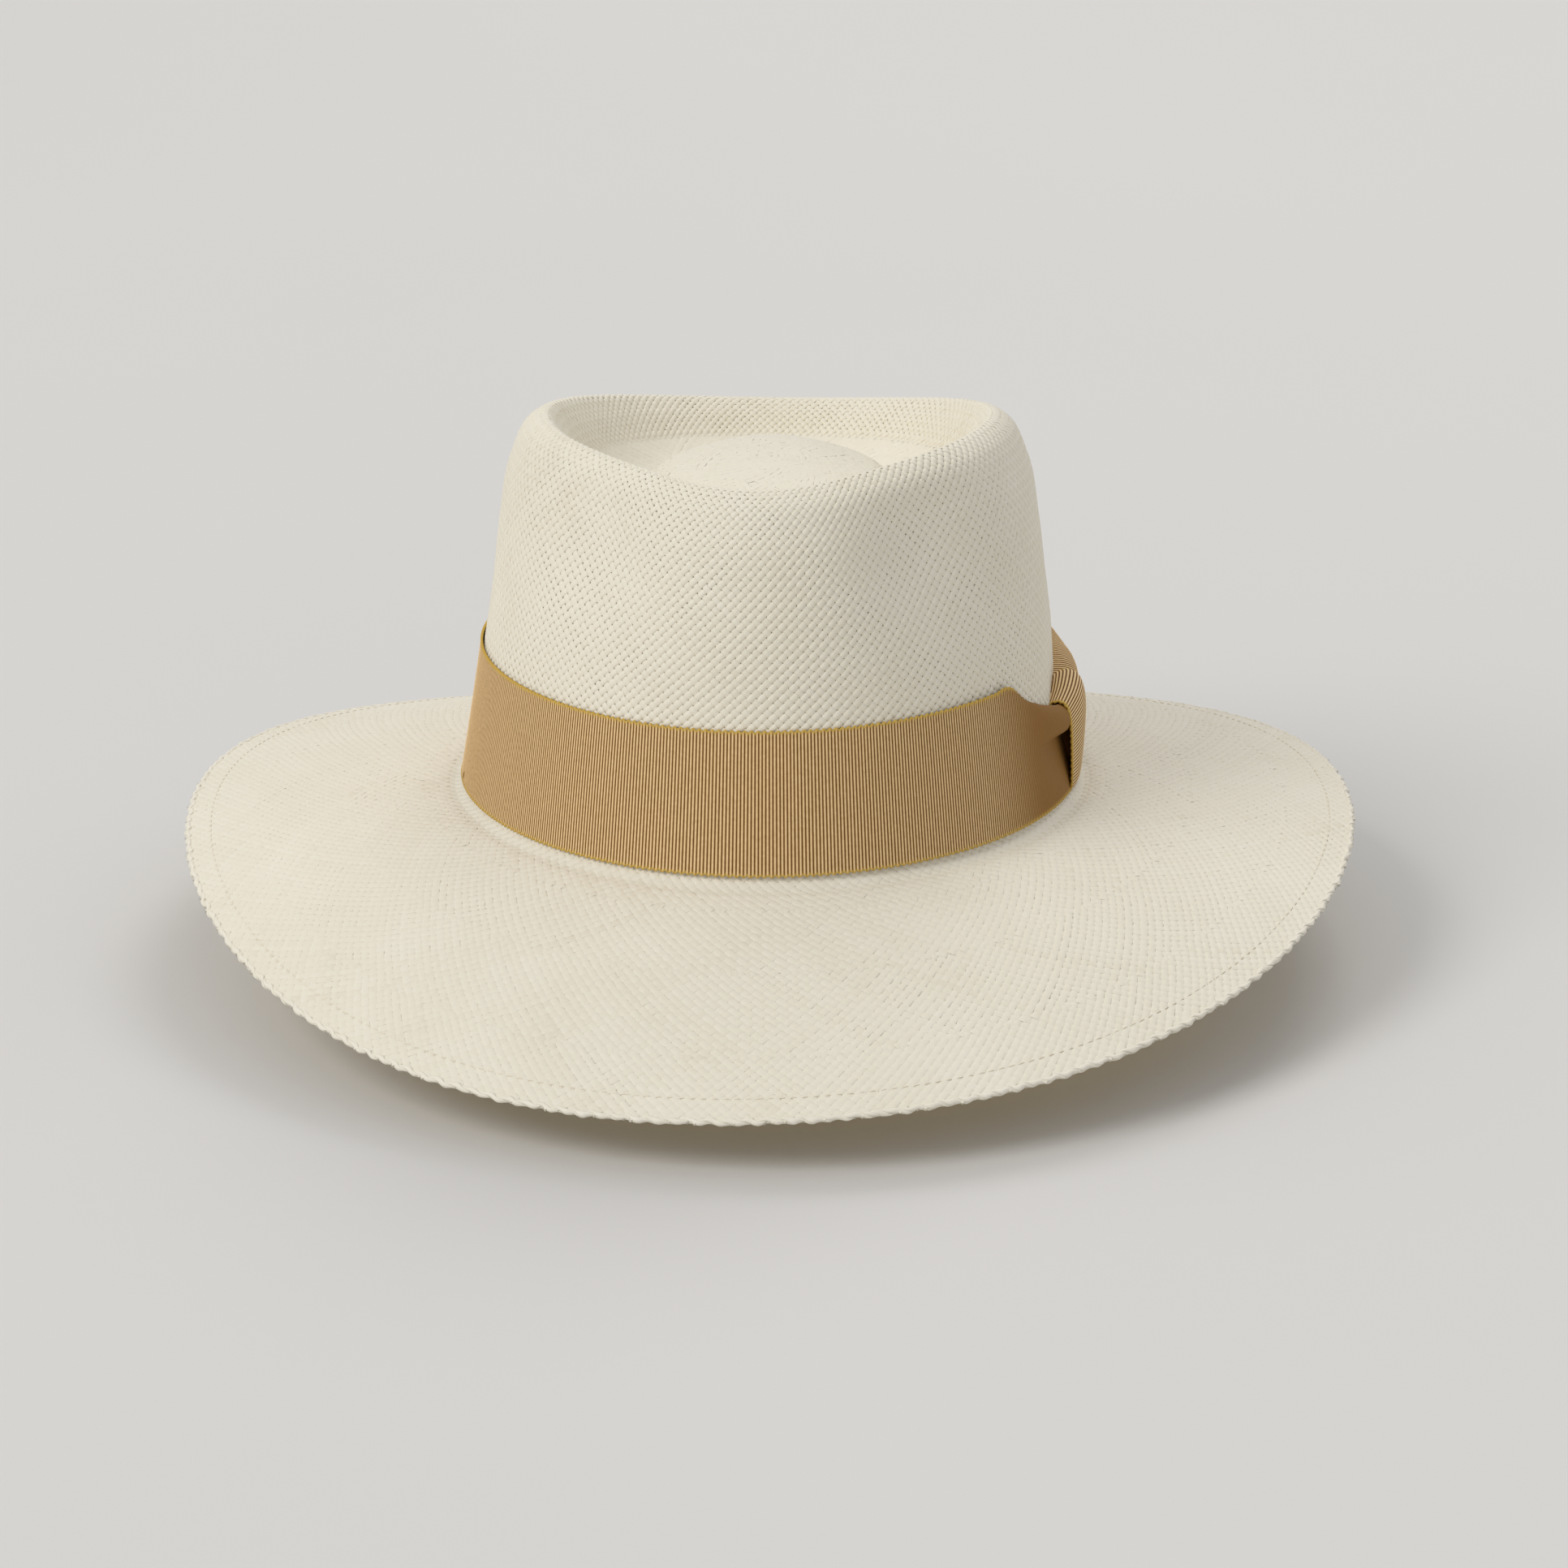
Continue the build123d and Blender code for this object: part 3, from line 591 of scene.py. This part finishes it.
def make_rear_loop():
    """The loop behind the knot: its ribs run round its section."""
    fine = np.linspace(LOOP_STATIONS[0], LOOP_STATIONS[-1], 600)
    line = section_between(LOOP_STATIONS, LOOP_SECTIONS, fine)[:, 2]
    line = on_band(np.radians(fine), line[:, 0], line[:, 1])
    length = distance_along(line)
    along = np.linspace(0, length[-1], int(length[-1] / RIB_PITCH) * RIB_SAMPLES + 1)
    degrees = np.interp(along, length, fine)
    azimuth = np.radians(degrees)
    section = section_between(LOOP_STATIONS, LOOP_SECTIONS, degrees)
    section = np.concatenate([section, section[:, :1]], axis=1)
    place = on_band(azimuth[:, None] * np.ones(section.shape[1]), section[..., 0], section[..., 1])
    points, _ = resampled(place, 61)
    points = points[:, :-1]
    closed = np.concatenate([points, points[:, :1]], axis=1)
    normals = grid_normals(closed)[:, :-1]
    middle = points.mean(axis=1, keepdims=True)
    sign = np.sign((normals * (points - middle)).sum(-1).mean())
    normals = normals * sign
    rib = rib_height(np.arange(len(degrees)) / RIB_SAMPLES)[:, None] * np.ones(points.shape[:2])
    where = np.linspace(0, 1, points.shape[1], endpoint=False)[None]
    folds = 0.22 * np.sin(TURN * (3 * where + along[:, None] / 38.0))
    folds = folds * np.exp(-((along[:, None] / 34.0) ** 2))
    points = points + normals * (RIB_DEPTH * (rib - 1) + folds)[..., None]
    rows, columns = points.shape[:2]
    quads = grid_quads(rows, columns, wrap_columns=True)
    caps = []
    for row in (0, rows - 1):
        ring = row * columns + np.arange(columns)
        for k in range(columns // 2 - 1):
            quad = [ring[k], ring[k + 1], ring[columns - 2 - k], ring[columns - 1 - k]]
            caps.append(quad if row == 0 else quad[::-1])
    quads = np.concatenate([quads, np.array(caps)])
    # a fade above 1 strengthens the ribs' painted highlight and shade
    attributes = {"rib": rib, "selvedge": np.zeros_like(rib), "fade": np.full_like(rib, 1.15)}
    quads = quads if sign < 0 else quads[:, ::-1]
    return new_mesh("bow_loop_ribbon", points.reshape(-1, 3), quads, attributes)


band_piece = make_band()
knot_piece = make_knot()
loop_piece = make_rear_loop()


# ---------------------------------------------------------------- stitches
def straight_stitches(name, middles, directions, normals, length, width, height, sink=0.0):
    """Short threads, each dipping into the cloth at both ends."""
    count = len(middles)
    share = np.array([-0.5, -0.36, 0.0, 0.36, 0.5])
    dip = np.array([-1.0, -0.25, 0.0, -0.25, -1.0]) * height
    thick = np.array([0.55, 0.95, 1.0, 0.95, 0.55])
    length = np.broadcast_to(length, (count,))
    centres = (middles[:, None] + directions[:, None] * (length[:, None] * share)[..., None]
               + normals[:, None] * (dip - sink)[None, :, None])
    sideways = np.cross(normals, directions)
    sideways = np.repeat(sideways[:, None], 5, axis=1)
    upwards = np.repeat(normals[:, None], 5, axis=1)
    widths = width * thick[None] * np.ones((count, 1))
    tone = np.repeat(RANDOM.normal(0, 1, (count, 1)), 5, axis=1)
    heights = height * thick[None] * np.ones((count, 1))
    points, quads, spread = tubes(centres, sideways, upwards, widths, heights, {"tone": tone}, capped=True)
    return new_mesh(name, points, quads, spread)


def stitches_round(name, station, pitch, length, width, height, depth):
    """A row of stitches round the hat at one station, depth mm under the straw's upper surface."""
    count = int(perimeter(station) / pitch)
    azimuth = np.arange(count) / count * TURN
    middles, normals = woven_surface(azimuth, np.full(count, station))
    middles = middles + normals * (WEAVE_DEPTH - depth)
    ahead = straw_top(azimuth + 0.004, station) - straw_top(azimuth - 0.004, station)
    uneven = length * (1 + 0.06 * RANDOM.standard_normal(count))
    side = 1.0 if depth < STRAW_DEPTH else -1.0
    return straight_stitches(name, middles, unit(ahead), normals * side, uneven, width, height)


hem_stitches = stitches_round("hem_stitches", STATIONS[-1] - HEM_WIDTH, pitch=3.1, length=1.9,
                              width=0.34, height=0.24, depth=0.06)

# six tacks in the band's lower edge, round the back
tack_azimuths = np.radians(np.linspace(50.0, 190.0, 6))
level = np.zeros_like(tack_azimuths)
tack_middles = on_band(tack_azimuths, level + 0.16, level + 2.0 / BAND_HEIGHT)
tack_up = unit(on_band(tack_azimuths, level, level + 1) - on_band(tack_azimuths, level, level))
tack_out = np.stack([np.cos(tack_azimuths), np.sin(tack_azimuths), level], axis=-1)
tack_stitches = straight_stitches("band_tack_stitches", tack_middles, tack_up, tack_out,
                                  length=2.4, width=0.38, height=0.34)

# ---------------------------------------------------------------- inside the head opening
LEATHER_THICKNESS = 1.0
CLEARANCE = 0.35
REED_RADIUS = 1.0
SWEATBAND_FOOT, SWEATBAND_TOP = station_of(13.15), station_of(11.4)
BEHIND_LEATHER = STRAW_DEPTH + CLEARANCE + LEATHER_THICKNESS


def under_straw(azimuth, station, depth):
    """The surface a given depth under the straw's upper one, and its outward normal."""
    points, normals = woven_surface(azimuth, station)
    return points + normals * (WEAVE_DEPTH - depth)[..., None], normals


def make_sweatband():
    """A turned leather band with a rounded upper edge and a slightly uneven lie."""
    around = 480
    azimuth = np.linspace(0, TURN, around, endpoint=False)
    share = np.array([0, .01, .03, .08, .16, .25, .35, .45, .55, .65, .75, .84, .92, .97, .99, 1.0])
    station = SWEATBAND_FOOT + (SWEATBAND_TOP - SWEATBAND_FOOT) * share
    wander = 0.12 * np.sin(azimuth * 7) + 0.08 * np.sin(azimuth * 13 + 1)
    rounding = 0.5 + 0.5 * np.sqrt(np.clip(1 - (2 * share - 1) ** 12, 0, 1))
    inner = STRAW_DEPTH + CLEARANCE + LEATHER_THICKNESS * rounding
    inner = inner[:, None] + wander[None] * np.sin(np.pi * share)[:, None]
    outer = np.full((len(share), around), STRAW_DEPTH + CLEARANCE)
    grid = azimuth[None] + np.zeros((len(share), 1))
    face, _ = under_straw(grid, station[:, None] + 0 * grid, inner)
    back, _ = under_straw(grid, station[:, None] + 0 * grid, outer)
    points = np.concatenate([face, back[::-1]])
    quads = grid_quads(2 * len(share), around, wrap_rows=True, wrap_columns=True)
    return new_mesh("leather_sweatband", points.reshape(-1, 3), quads)


def make_reed():
    """The covered reed that stiffens the sweatband's lower edge, with its wrapping."""
    samples, around = 1500, 10
    azimuth = np.linspace(0, TURN, samples, endpoint=False)
    angle = np.linspace(0, TURN, around, endpoint=False)
    radius = REED_RADIUS + 0.05 * np.cos(azimuth * 240)[:, None] * np.ones(around)
    depth = BEHIND_LEATHER + CLEARANCE + REED_RADIUS + radius * np.cos(angle)
    station = SWEATBAND_FOOT + radius * np.sin(angle)
    points, _ = under_straw(azimuth[:, None] + 0 * depth, station, depth)
    quads = grid_quads(samples, around, wrap_rows=True, wrap_columns=True)
    return new_mesh("wrapped_reed", points.reshape(-1, 3), quads)


def make_lining_patch(name, degrees, width, rings, depth, shape, columns=61, rows=21):
    """A soft patch on the sweatband's inner face; shape gives its thickness share over u, v."""
    middle = math.radians(degrees)
    lower, upper = station_of(rings[0]), station_of(rings[1])
    half = width / 2 / float(np.linalg.norm(straw_top(middle, lower)[..., :2]))
    u, v = np.meshgrid(np.linspace(-1, 1, columns), np.linspace(0, 1, rows), indexing="ij")
    thick, tall = shape(u, v)
    azimuth = middle + half * u
    station = lower + (upper - lower) * (0.5 + (v - 0.5) * tall)
    behind = BEHIND_LEATHER + CLEARANCE
    face, _ = under_straw(azimuth, station, behind + depth * thick)
    back, _ = under_straw(azimuth, station, behind + 0 * thick)
    points = np.concatenate([face, back[::-1]])
    quads = grid_quads(2 * columns, rows, wrap_rows=True)
    rib = rib_height(u * width / 2 / RIB_PITCH)
    edge = np.clip(1 - np.minimum(v, 1 - v) / 0.08, 0, 1)
    attributes = {"rib": np.concatenate([rib, rib[::-1]]), "selvedge": np.concatenate([edge, edge[::-1]]),
                  "fade": np.ones((2 * columns, rows))}
    return new_mesh(name, points.reshape(-1, 3), quads, attributes)


def small_bow_shape(u, v):
    """Two loops that narrow to a knot in the middle."""
    knot = np.exp(-((u / 0.13) ** 4))
    loops = np.sin(np.pi * np.clip(np.abs(u), 0, 1)) ** 0.5
    tall = 0.42 + 0.58 * np.clip(np.abs(u) * 1.6, 0, 1) ** 0.8
    tall = np.maximum(tall * (1 - knot), 0.55 * knot)
    across = np.sin(np.pi * v) ** 0.5
    thick = 0.15 + 0.85 * across * np.maximum(0.75 * loops, knot)
    return thick, tall


def label_shape(u, v):
    """A flat woven tape with turned ends."""
    fold = 0.35 * np.exp(-(((np.abs(u) - 0.94) / 0.05) ** 2))
    return 0.65 + fold + 0 * v, np.ones_like(u)


leather_piece = make_sweatband()
reed_piece = make_reed()
seam_stitches = stitches_round("sweatband_seam_stitches", SWEATBAND_FOOT - 3.0, pitch=3.4, length=2.3,
                               width=0.5, height=0.42, depth=BEHIND_LEATHER)
lining_bow = make_lining_patch("lining_bow", degrees=90.0, width=24.0, rings=(12.7, 12.2), depth=1.6,
                               shape=small_bow_shape)
label_piece = make_lining_patch("blank_label", degrees=72.0, width=18.0, rings=(12.5, 11.9), depth=0.5,
                                shape=label_shape)


# ---------------------------------------------------------------- materials
def new_material(name):
    material = bpy.data.materials.new(name)
    material.use_nodes = True
    nodes, links = material.node_tree.nodes, material.node_tree.links
    shader = nodes["Principled BSDF"]
    return material, nodes, links, shader


def attribute(nodes, name):
    node = nodes.new("ShaderNodeAttribute")
    node.attribute_name = name
    return node.outputs["Fac"]


def ramp(nodes, links, value, stops):
    node = nodes.new("ShaderNodeValToRGB")
    elements = node.color_ramp.elements
    while len(elements) < len(stops):
        elements.new(0.5)
    for element, (position, colour) in zip(elements, stops):
        element.position = position
        element.color = (*colour, 1)
    links.new(value, node.inputs["Fac"])
    return node.outputs["Color"]


def math_node(nodes, links, kind, first, second, clamp=False):
    node = nodes.new("ShaderNodeMath")
    node.operation, node.use_clamp = kind, clamp
    for socket, value in zip(node.inputs, (first, second)):
        if isinstance(value, (int, float)):
            socket.default_value = value
        else:
            links.new(value, socket)
    return node.outputs[0]


def noise(nodes, links, scale, detail=3.0, stretch=None):
    texture = nodes.new("ShaderNodeTexNoise")
    texture.inputs["Scale"].default_value = scale
    texture.inputs["Detail"].default_value = detail
    place = nodes.new("ShaderNodeTexCoord")
    source = place.outputs["Object"]
    if stretch:
        mapping = nodes.new("ShaderNodeMapping")
        mapping.inputs["Scale"].default_value = stretch
        links.new(source, mapping.inputs["Vector"])
        source = mapping.outputs["Vector"]
    links.new(source, texture.inputs["Vector"])
    return texture.outputs["Fac"]


def bump(nodes, links, shader, height, distance, strength=1.0):
    node = nodes.new("ShaderNodeBump")
    node.inputs["Distance"].default_value = distance
    node.inputs["Strength"].default_value = strength
    links.new(height, node.inputs["Height"])
    links.new(node.outputs["Normal"], shader.inputs["Normal"])


def finish_pieces(material, pairs):
    """Give each piece its material and slot, attach it to the root body, and hide the CAD node it replaces.
    """
    for piece, node_name in pairs:
        piece.data.materials.append(material)
        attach(piece, "root")
        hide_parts(node_name)


STRAW_DARK = (0.69, 0.62, 0.475)
STRAW_MID = (0.82, 0.77, 0.64)
STRAW_LIGHT = (0.87, 0.83, 0.72)

straw, nodes, links, shader = new_material("straw")
strand_tone = math_node(nodes, links, "MULTIPLY", attribute(nodes, "tone"), 0.05)
patches = math_node(nodes, links, "MULTIPLY", noise(nodes, links, 35.0, 2.0), 0.5)
fibre = math_node(nodes, links, "MULTIPLY", noise(nodes, links, 1900.0, 2.0), 0.35)
mixed = math_node(nodes, links, "ADD", strand_tone, patches)
mixed = math_node(nodes, links, "ADD", mixed, fibre)
mixed = math_node(nodes, links, "ADD", mixed, 0.10, clamp=True)
colour = ramp(nodes, links, mixed, [(0.0, STRAW_DARK), (0.42, STRAW_MID), (0.95, STRAW_LIGHT)])
links.new(colour, shader.inputs["Base Color"])
rough = math_node(nodes, links, "MULTIPLY_ADD", noise(nodes, links, 600.0), 0.25)
rough.node.inputs[2].default_value = 0.42
links.new(rough, shader.inputs["Roughness"])
shader.inputs["Specular IOR Level"].default_value = 0.35
bump(nodes, links, shader, noise(nodes, links, 2400.0, 2.0), 0.00005, 0.5)

finish_pieces(straw, [(piece, "straw_body") for piece in straw_pieces])

# The ribs' crests get a painted highlight and their grooves painted shade; RIB_MID is the ribbon's own
# colour.
RIB_CREST_PAINTED_HIGHLIGHT = (0.90, 0.66, 0.36)
RIB_MID = (0.305, 0.155, 0.040)
RIB_GROOVE_PAINTED_SHADE = (0.095, 0.036, 0.007)
SELVEDGE = (0.60, 0.39, 0.075)
RIB_MIDDLE = 0.62         # the rib height that has the middle colour and doesn't change with the fade
GATHER_PAINTED_SHADE = 0.07   # painted shade on the gather, where the ribs close up

ribbon, nodes, links, shader = new_material("ribbon")
rib = attribute(nodes, "rib")
grain = math_node(nodes, links, "MULTIPLY", noise(nodes, links, 900.0, 2.0), 0.18)
rib = math_node(nodes, links, "ADD", rib, grain)
rib = math_node(nodes, links, "SUBTRACT", rib, 0.09, clamp=True)
# fade scales the ribs' painted highlight and shade
away = math_node(nodes, links, "SUBTRACT", rib, RIB_MIDDLE)
kept = math_node(nodes, links, "MULTIPLY", away, attribute(nodes, "fade"))
rib = math_node(nodes, links, "ADD", kept, RIB_MIDDLE)
# painted shade darkens the gather
closed = math_node(nodes, links, "SUBTRACT", 1.0, attribute(nodes, "fade"), clamp=True)
closed = math_node(nodes, links, "MULTIPLY", closed, GATHER_PAINTED_SHADE)
rib = math_node(nodes, links, "SUBTRACT", rib, closed, clamp=True)
# painted shade in the grooves and painted highlight on the crests, by rib height
crest = ramp(nodes, links, rib, [(0.0, RIB_GROOVE_PAINTED_SHADE), (RIB_MIDDLE, RIB_MID), (1.0, RIB_CREST_PAINTED_HIGHLIGHT)])
edge_mix = nodes.new("ShaderNodeMix")
edge_mix.data_type = "RGBA"
links.new(attribute(nodes, "selvedge"), edge_mix.inputs[0])
links.new(crest, edge_mix.inputs[6])
edge_mix.inputs[7].default_value = (*SELVEDGE, 1)
links.new(edge_mix.outputs[2], shader.inputs["Base Color"])
rough = math_node(nodes, links, "MULTIPLY_ADD", noise(nodes, links, 500.0), 0.2)
rough.node.inputs[2].default_value = 0.55
links.new(rough, shader.inputs["Roughness"])
shader.inputs["Specular IOR Level"].default_value = 0.12
bump(nodes, links, shader, noise(nodes, links, 2600.0, 1.0), 0.00004, 0.5)
finish_pieces(ribbon, [(band_piece, "hat_band"), (knot_piece, "bow_knot"),
                                 (loop_piece, "bow_rear_loop"), (lining_bow, "sweatband_bow")])


def cloth_thread(name, dark, light):
    material, nodes, links, shader = new_material(name)
    value = math_node(nodes, links, "MULTIPLY_ADD", attribute(nodes, "tone"), 0.12)
    value.node.inputs[2].default_value = 0.3
    twist = math_node(nodes, links, "MULTIPLY_ADD", noise(nodes, links, 3000.0, 1.0), 0.4)
    links.new(value, twist.node.inputs[2])
    links.new(ramp(nodes, links, twist, [(0.1, dark), (0.9, light)]), shader.inputs["Base Color"])
    shader.inputs["Roughness"].default_value = 0.7
    shader.inputs["Specular IOR Level"].default_value = 0.25
    bump(nodes, links, shader, noise(nodes, links, 3500.0, 1.0), 0.00005, 0.6)
    return material


straw_thread = cloth_thread("straw_thread", (0.78, 0.71, 0.57), (0.87, 0.81, 0.68))
finish_pieces(straw_thread, [(hem_stitches, "brim_edge_stitching"),
                                             (seam_stitches, "sweatband_stitching")])
ribbon_thread = cloth_thread("ribbon_thread", (0.30, 0.19, 0.05), (0.45, 0.31, 0.11))
finish_pieces(ribbon_thread, [(tack_stitches, "band_tacks")])

leather, nodes, links, shader = new_material("leather")
pores = nodes.new("ShaderNodeTexVoronoi")
pores.inputs["Scale"].default_value = 900.0
place = nodes.new("ShaderNodeTexCoord")
links.new(place.outputs["Object"], pores.inputs["Vector"])
shade = math_node(nodes, links, "MULTIPLY_ADD", noise(nodes, links, 60.0, 5.0), 0.7)
speckle = math_node(nodes, links, "MULTIPLY", pores.outputs["Distance"], 0.3)
links.new(speckle, shade.node.inputs[2])
colour = ramp(nodes, links, shade, [(0.2, (0.24, 0.125, 0.055)), (0.8, (0.42, 0.25, 0.125))])
links.new(colour, shader.inputs["Base Color"])
rough = math_node(nodes, links, "MULTIPLY_ADD", noise(nodes, links, 200.0), 0.25)
rough.node.inputs[2].default_value = 0.4
links.new(rough, shader.inputs["Roughness"])
bump(nodes, links, shader, pores.outputs["Distance"], 0.00015, 0.5)
finish_pieces(leather, [(leather_piece, "sweatband")])

reed, nodes, links, shader = new_material("reed")
wrapping = noise(nodes, links, 300.0, 4.0)
colour = ramp(nodes, links, wrapping, [(0.3, (0.36, 0.27, 0.15)), (0.7, (0.50, 0.40, 0.25))])
links.new(colour, shader.inputs["Base Color"])
shader.inputs["Roughness"].default_value = 0.55
bump(nodes, links, shader, noise(nodes, links, 1500.0), 0.0001, 0.6)
finish_pieces(reed, [(reed_piece, "sweatband_reed")])

label, nodes, links, shader = new_material("label")
threads = nodes.new("ShaderNodeTexWave")
threads.inputs["Scale"].default_value = 400.0
threads.inputs["Distortion"].default_value = 0.6
place = nodes.new("ShaderNodeTexCoord")
links.new(place.outputs["Object"], threads.inputs["Vector"])
colour = ramp(nodes, links, threads.outputs["Fac"], [(0.1, (0.62, 0.58, 0.50)), (0.9, (0.78, 0.75, 0.68))])
links.new(colour, shader.inputs["Base Color"])
shader.inputs["Roughness"].default_value = 0.75
bump(nodes, links, shader, threads.outputs["Fac"], 0.0001, 0.5)
finish_pieces(label, [(label_piece, "size_label")])


# ---------------------------------------------------------------- camera, floor and lights
CAMERA_AT = Vector((0.08337, -1.65537, 0.60578))
CAMERA_AIM = Vector((0.00401, 0.00019, 0.03100))
CAMERA_LENS = 144.28      # mm, on a 36 mm sensor
CAMERA_ROLL = -0.0028
camera_data = bpy.data.cameras.new("camera")
camera_data.sensor_width = 36.0
camera_data.lens = CAMERA_LENS
camera_data.dof.use_dof = False
camera = bpy.data.objects.new("camera", camera_data)
bpy.context.scene.collection.objects.link(camera)
camera.location = CAMERA_AT
camera.rotation_euler = (CAMERA_AIM - CAMERA_AT).to_track_quat("-Z", "Y").to_euler()
camera.rotation_euler.rotate_axis("Z", CAMERA_ROLL)
bpy.context.scene.camera = camera

FLOOR_DROP = 0.014        # the hat is held a little above the floor, as on a hidden stand
bpy.ops.mesh.primitive_plane_add(size=14, location=(0, 0, -FLOOR_DROP))
floor = bpy.context.object
floor.name = "floor"
floor_material, nodes, links, shader = new_material("floor")
colour = ramp(nodes, links, noise(nodes, links, 1.5), [(0.3, (0.70, 0.69, 0.665)), (0.7, (0.72, 0.71, 0.69))])
links.new(colour, shader.inputs["Base Color"])
shader.inputs["Roughness"].default_value = 0.6
shader.inputs["Specular IOR Level"].default_value = 0.2
floor.data.materials.append(floor_material)


def area_light(name, place, aim, size, power, colour):
    data = bpy.data.lights.new(name, "AREA")
    data.shape, data.size, data.energy, data.color = "DISK", size, power, colour
    light = bpy.data.objects.new(name, data)
    bpy.context.scene.collection.objects.link(light)
    light.location = place
    direction = Vector(aim) - Vector(place)
    light.rotation_euler = direction.to_track_quat("-Z", "Y").to_euler()


area_light("key", (-4.2, -3.4, 4.7), (0, 0, 0.05), 3.6, 206, (1.0, 0.985, 0.965))
area_light("back_fill", (0.7, 2.1, 2.4), (0, 0.1, 0.0), 1.6, 20, (1.0, 0.985, 0.96))
area_light("under_hat_bounce", (0.0, -0.01, 0.012), (0.0, -0.01, -1), 0.22, 0.036, (1.0, 0.72, 0.32))
world = bpy.data.worlds.new("studio")
world.use_nodes = True
world.node_tree.nodes["Background"].inputs["Color"].default_value = (0.985, 0.985, 1.0, 1)
world.node_tree.nodes["Background"].inputs["Strength"].default_value = 0.565
bpy.context.scene.world = world
bpy.context.scene.view_settings.view_transform = "Standard"
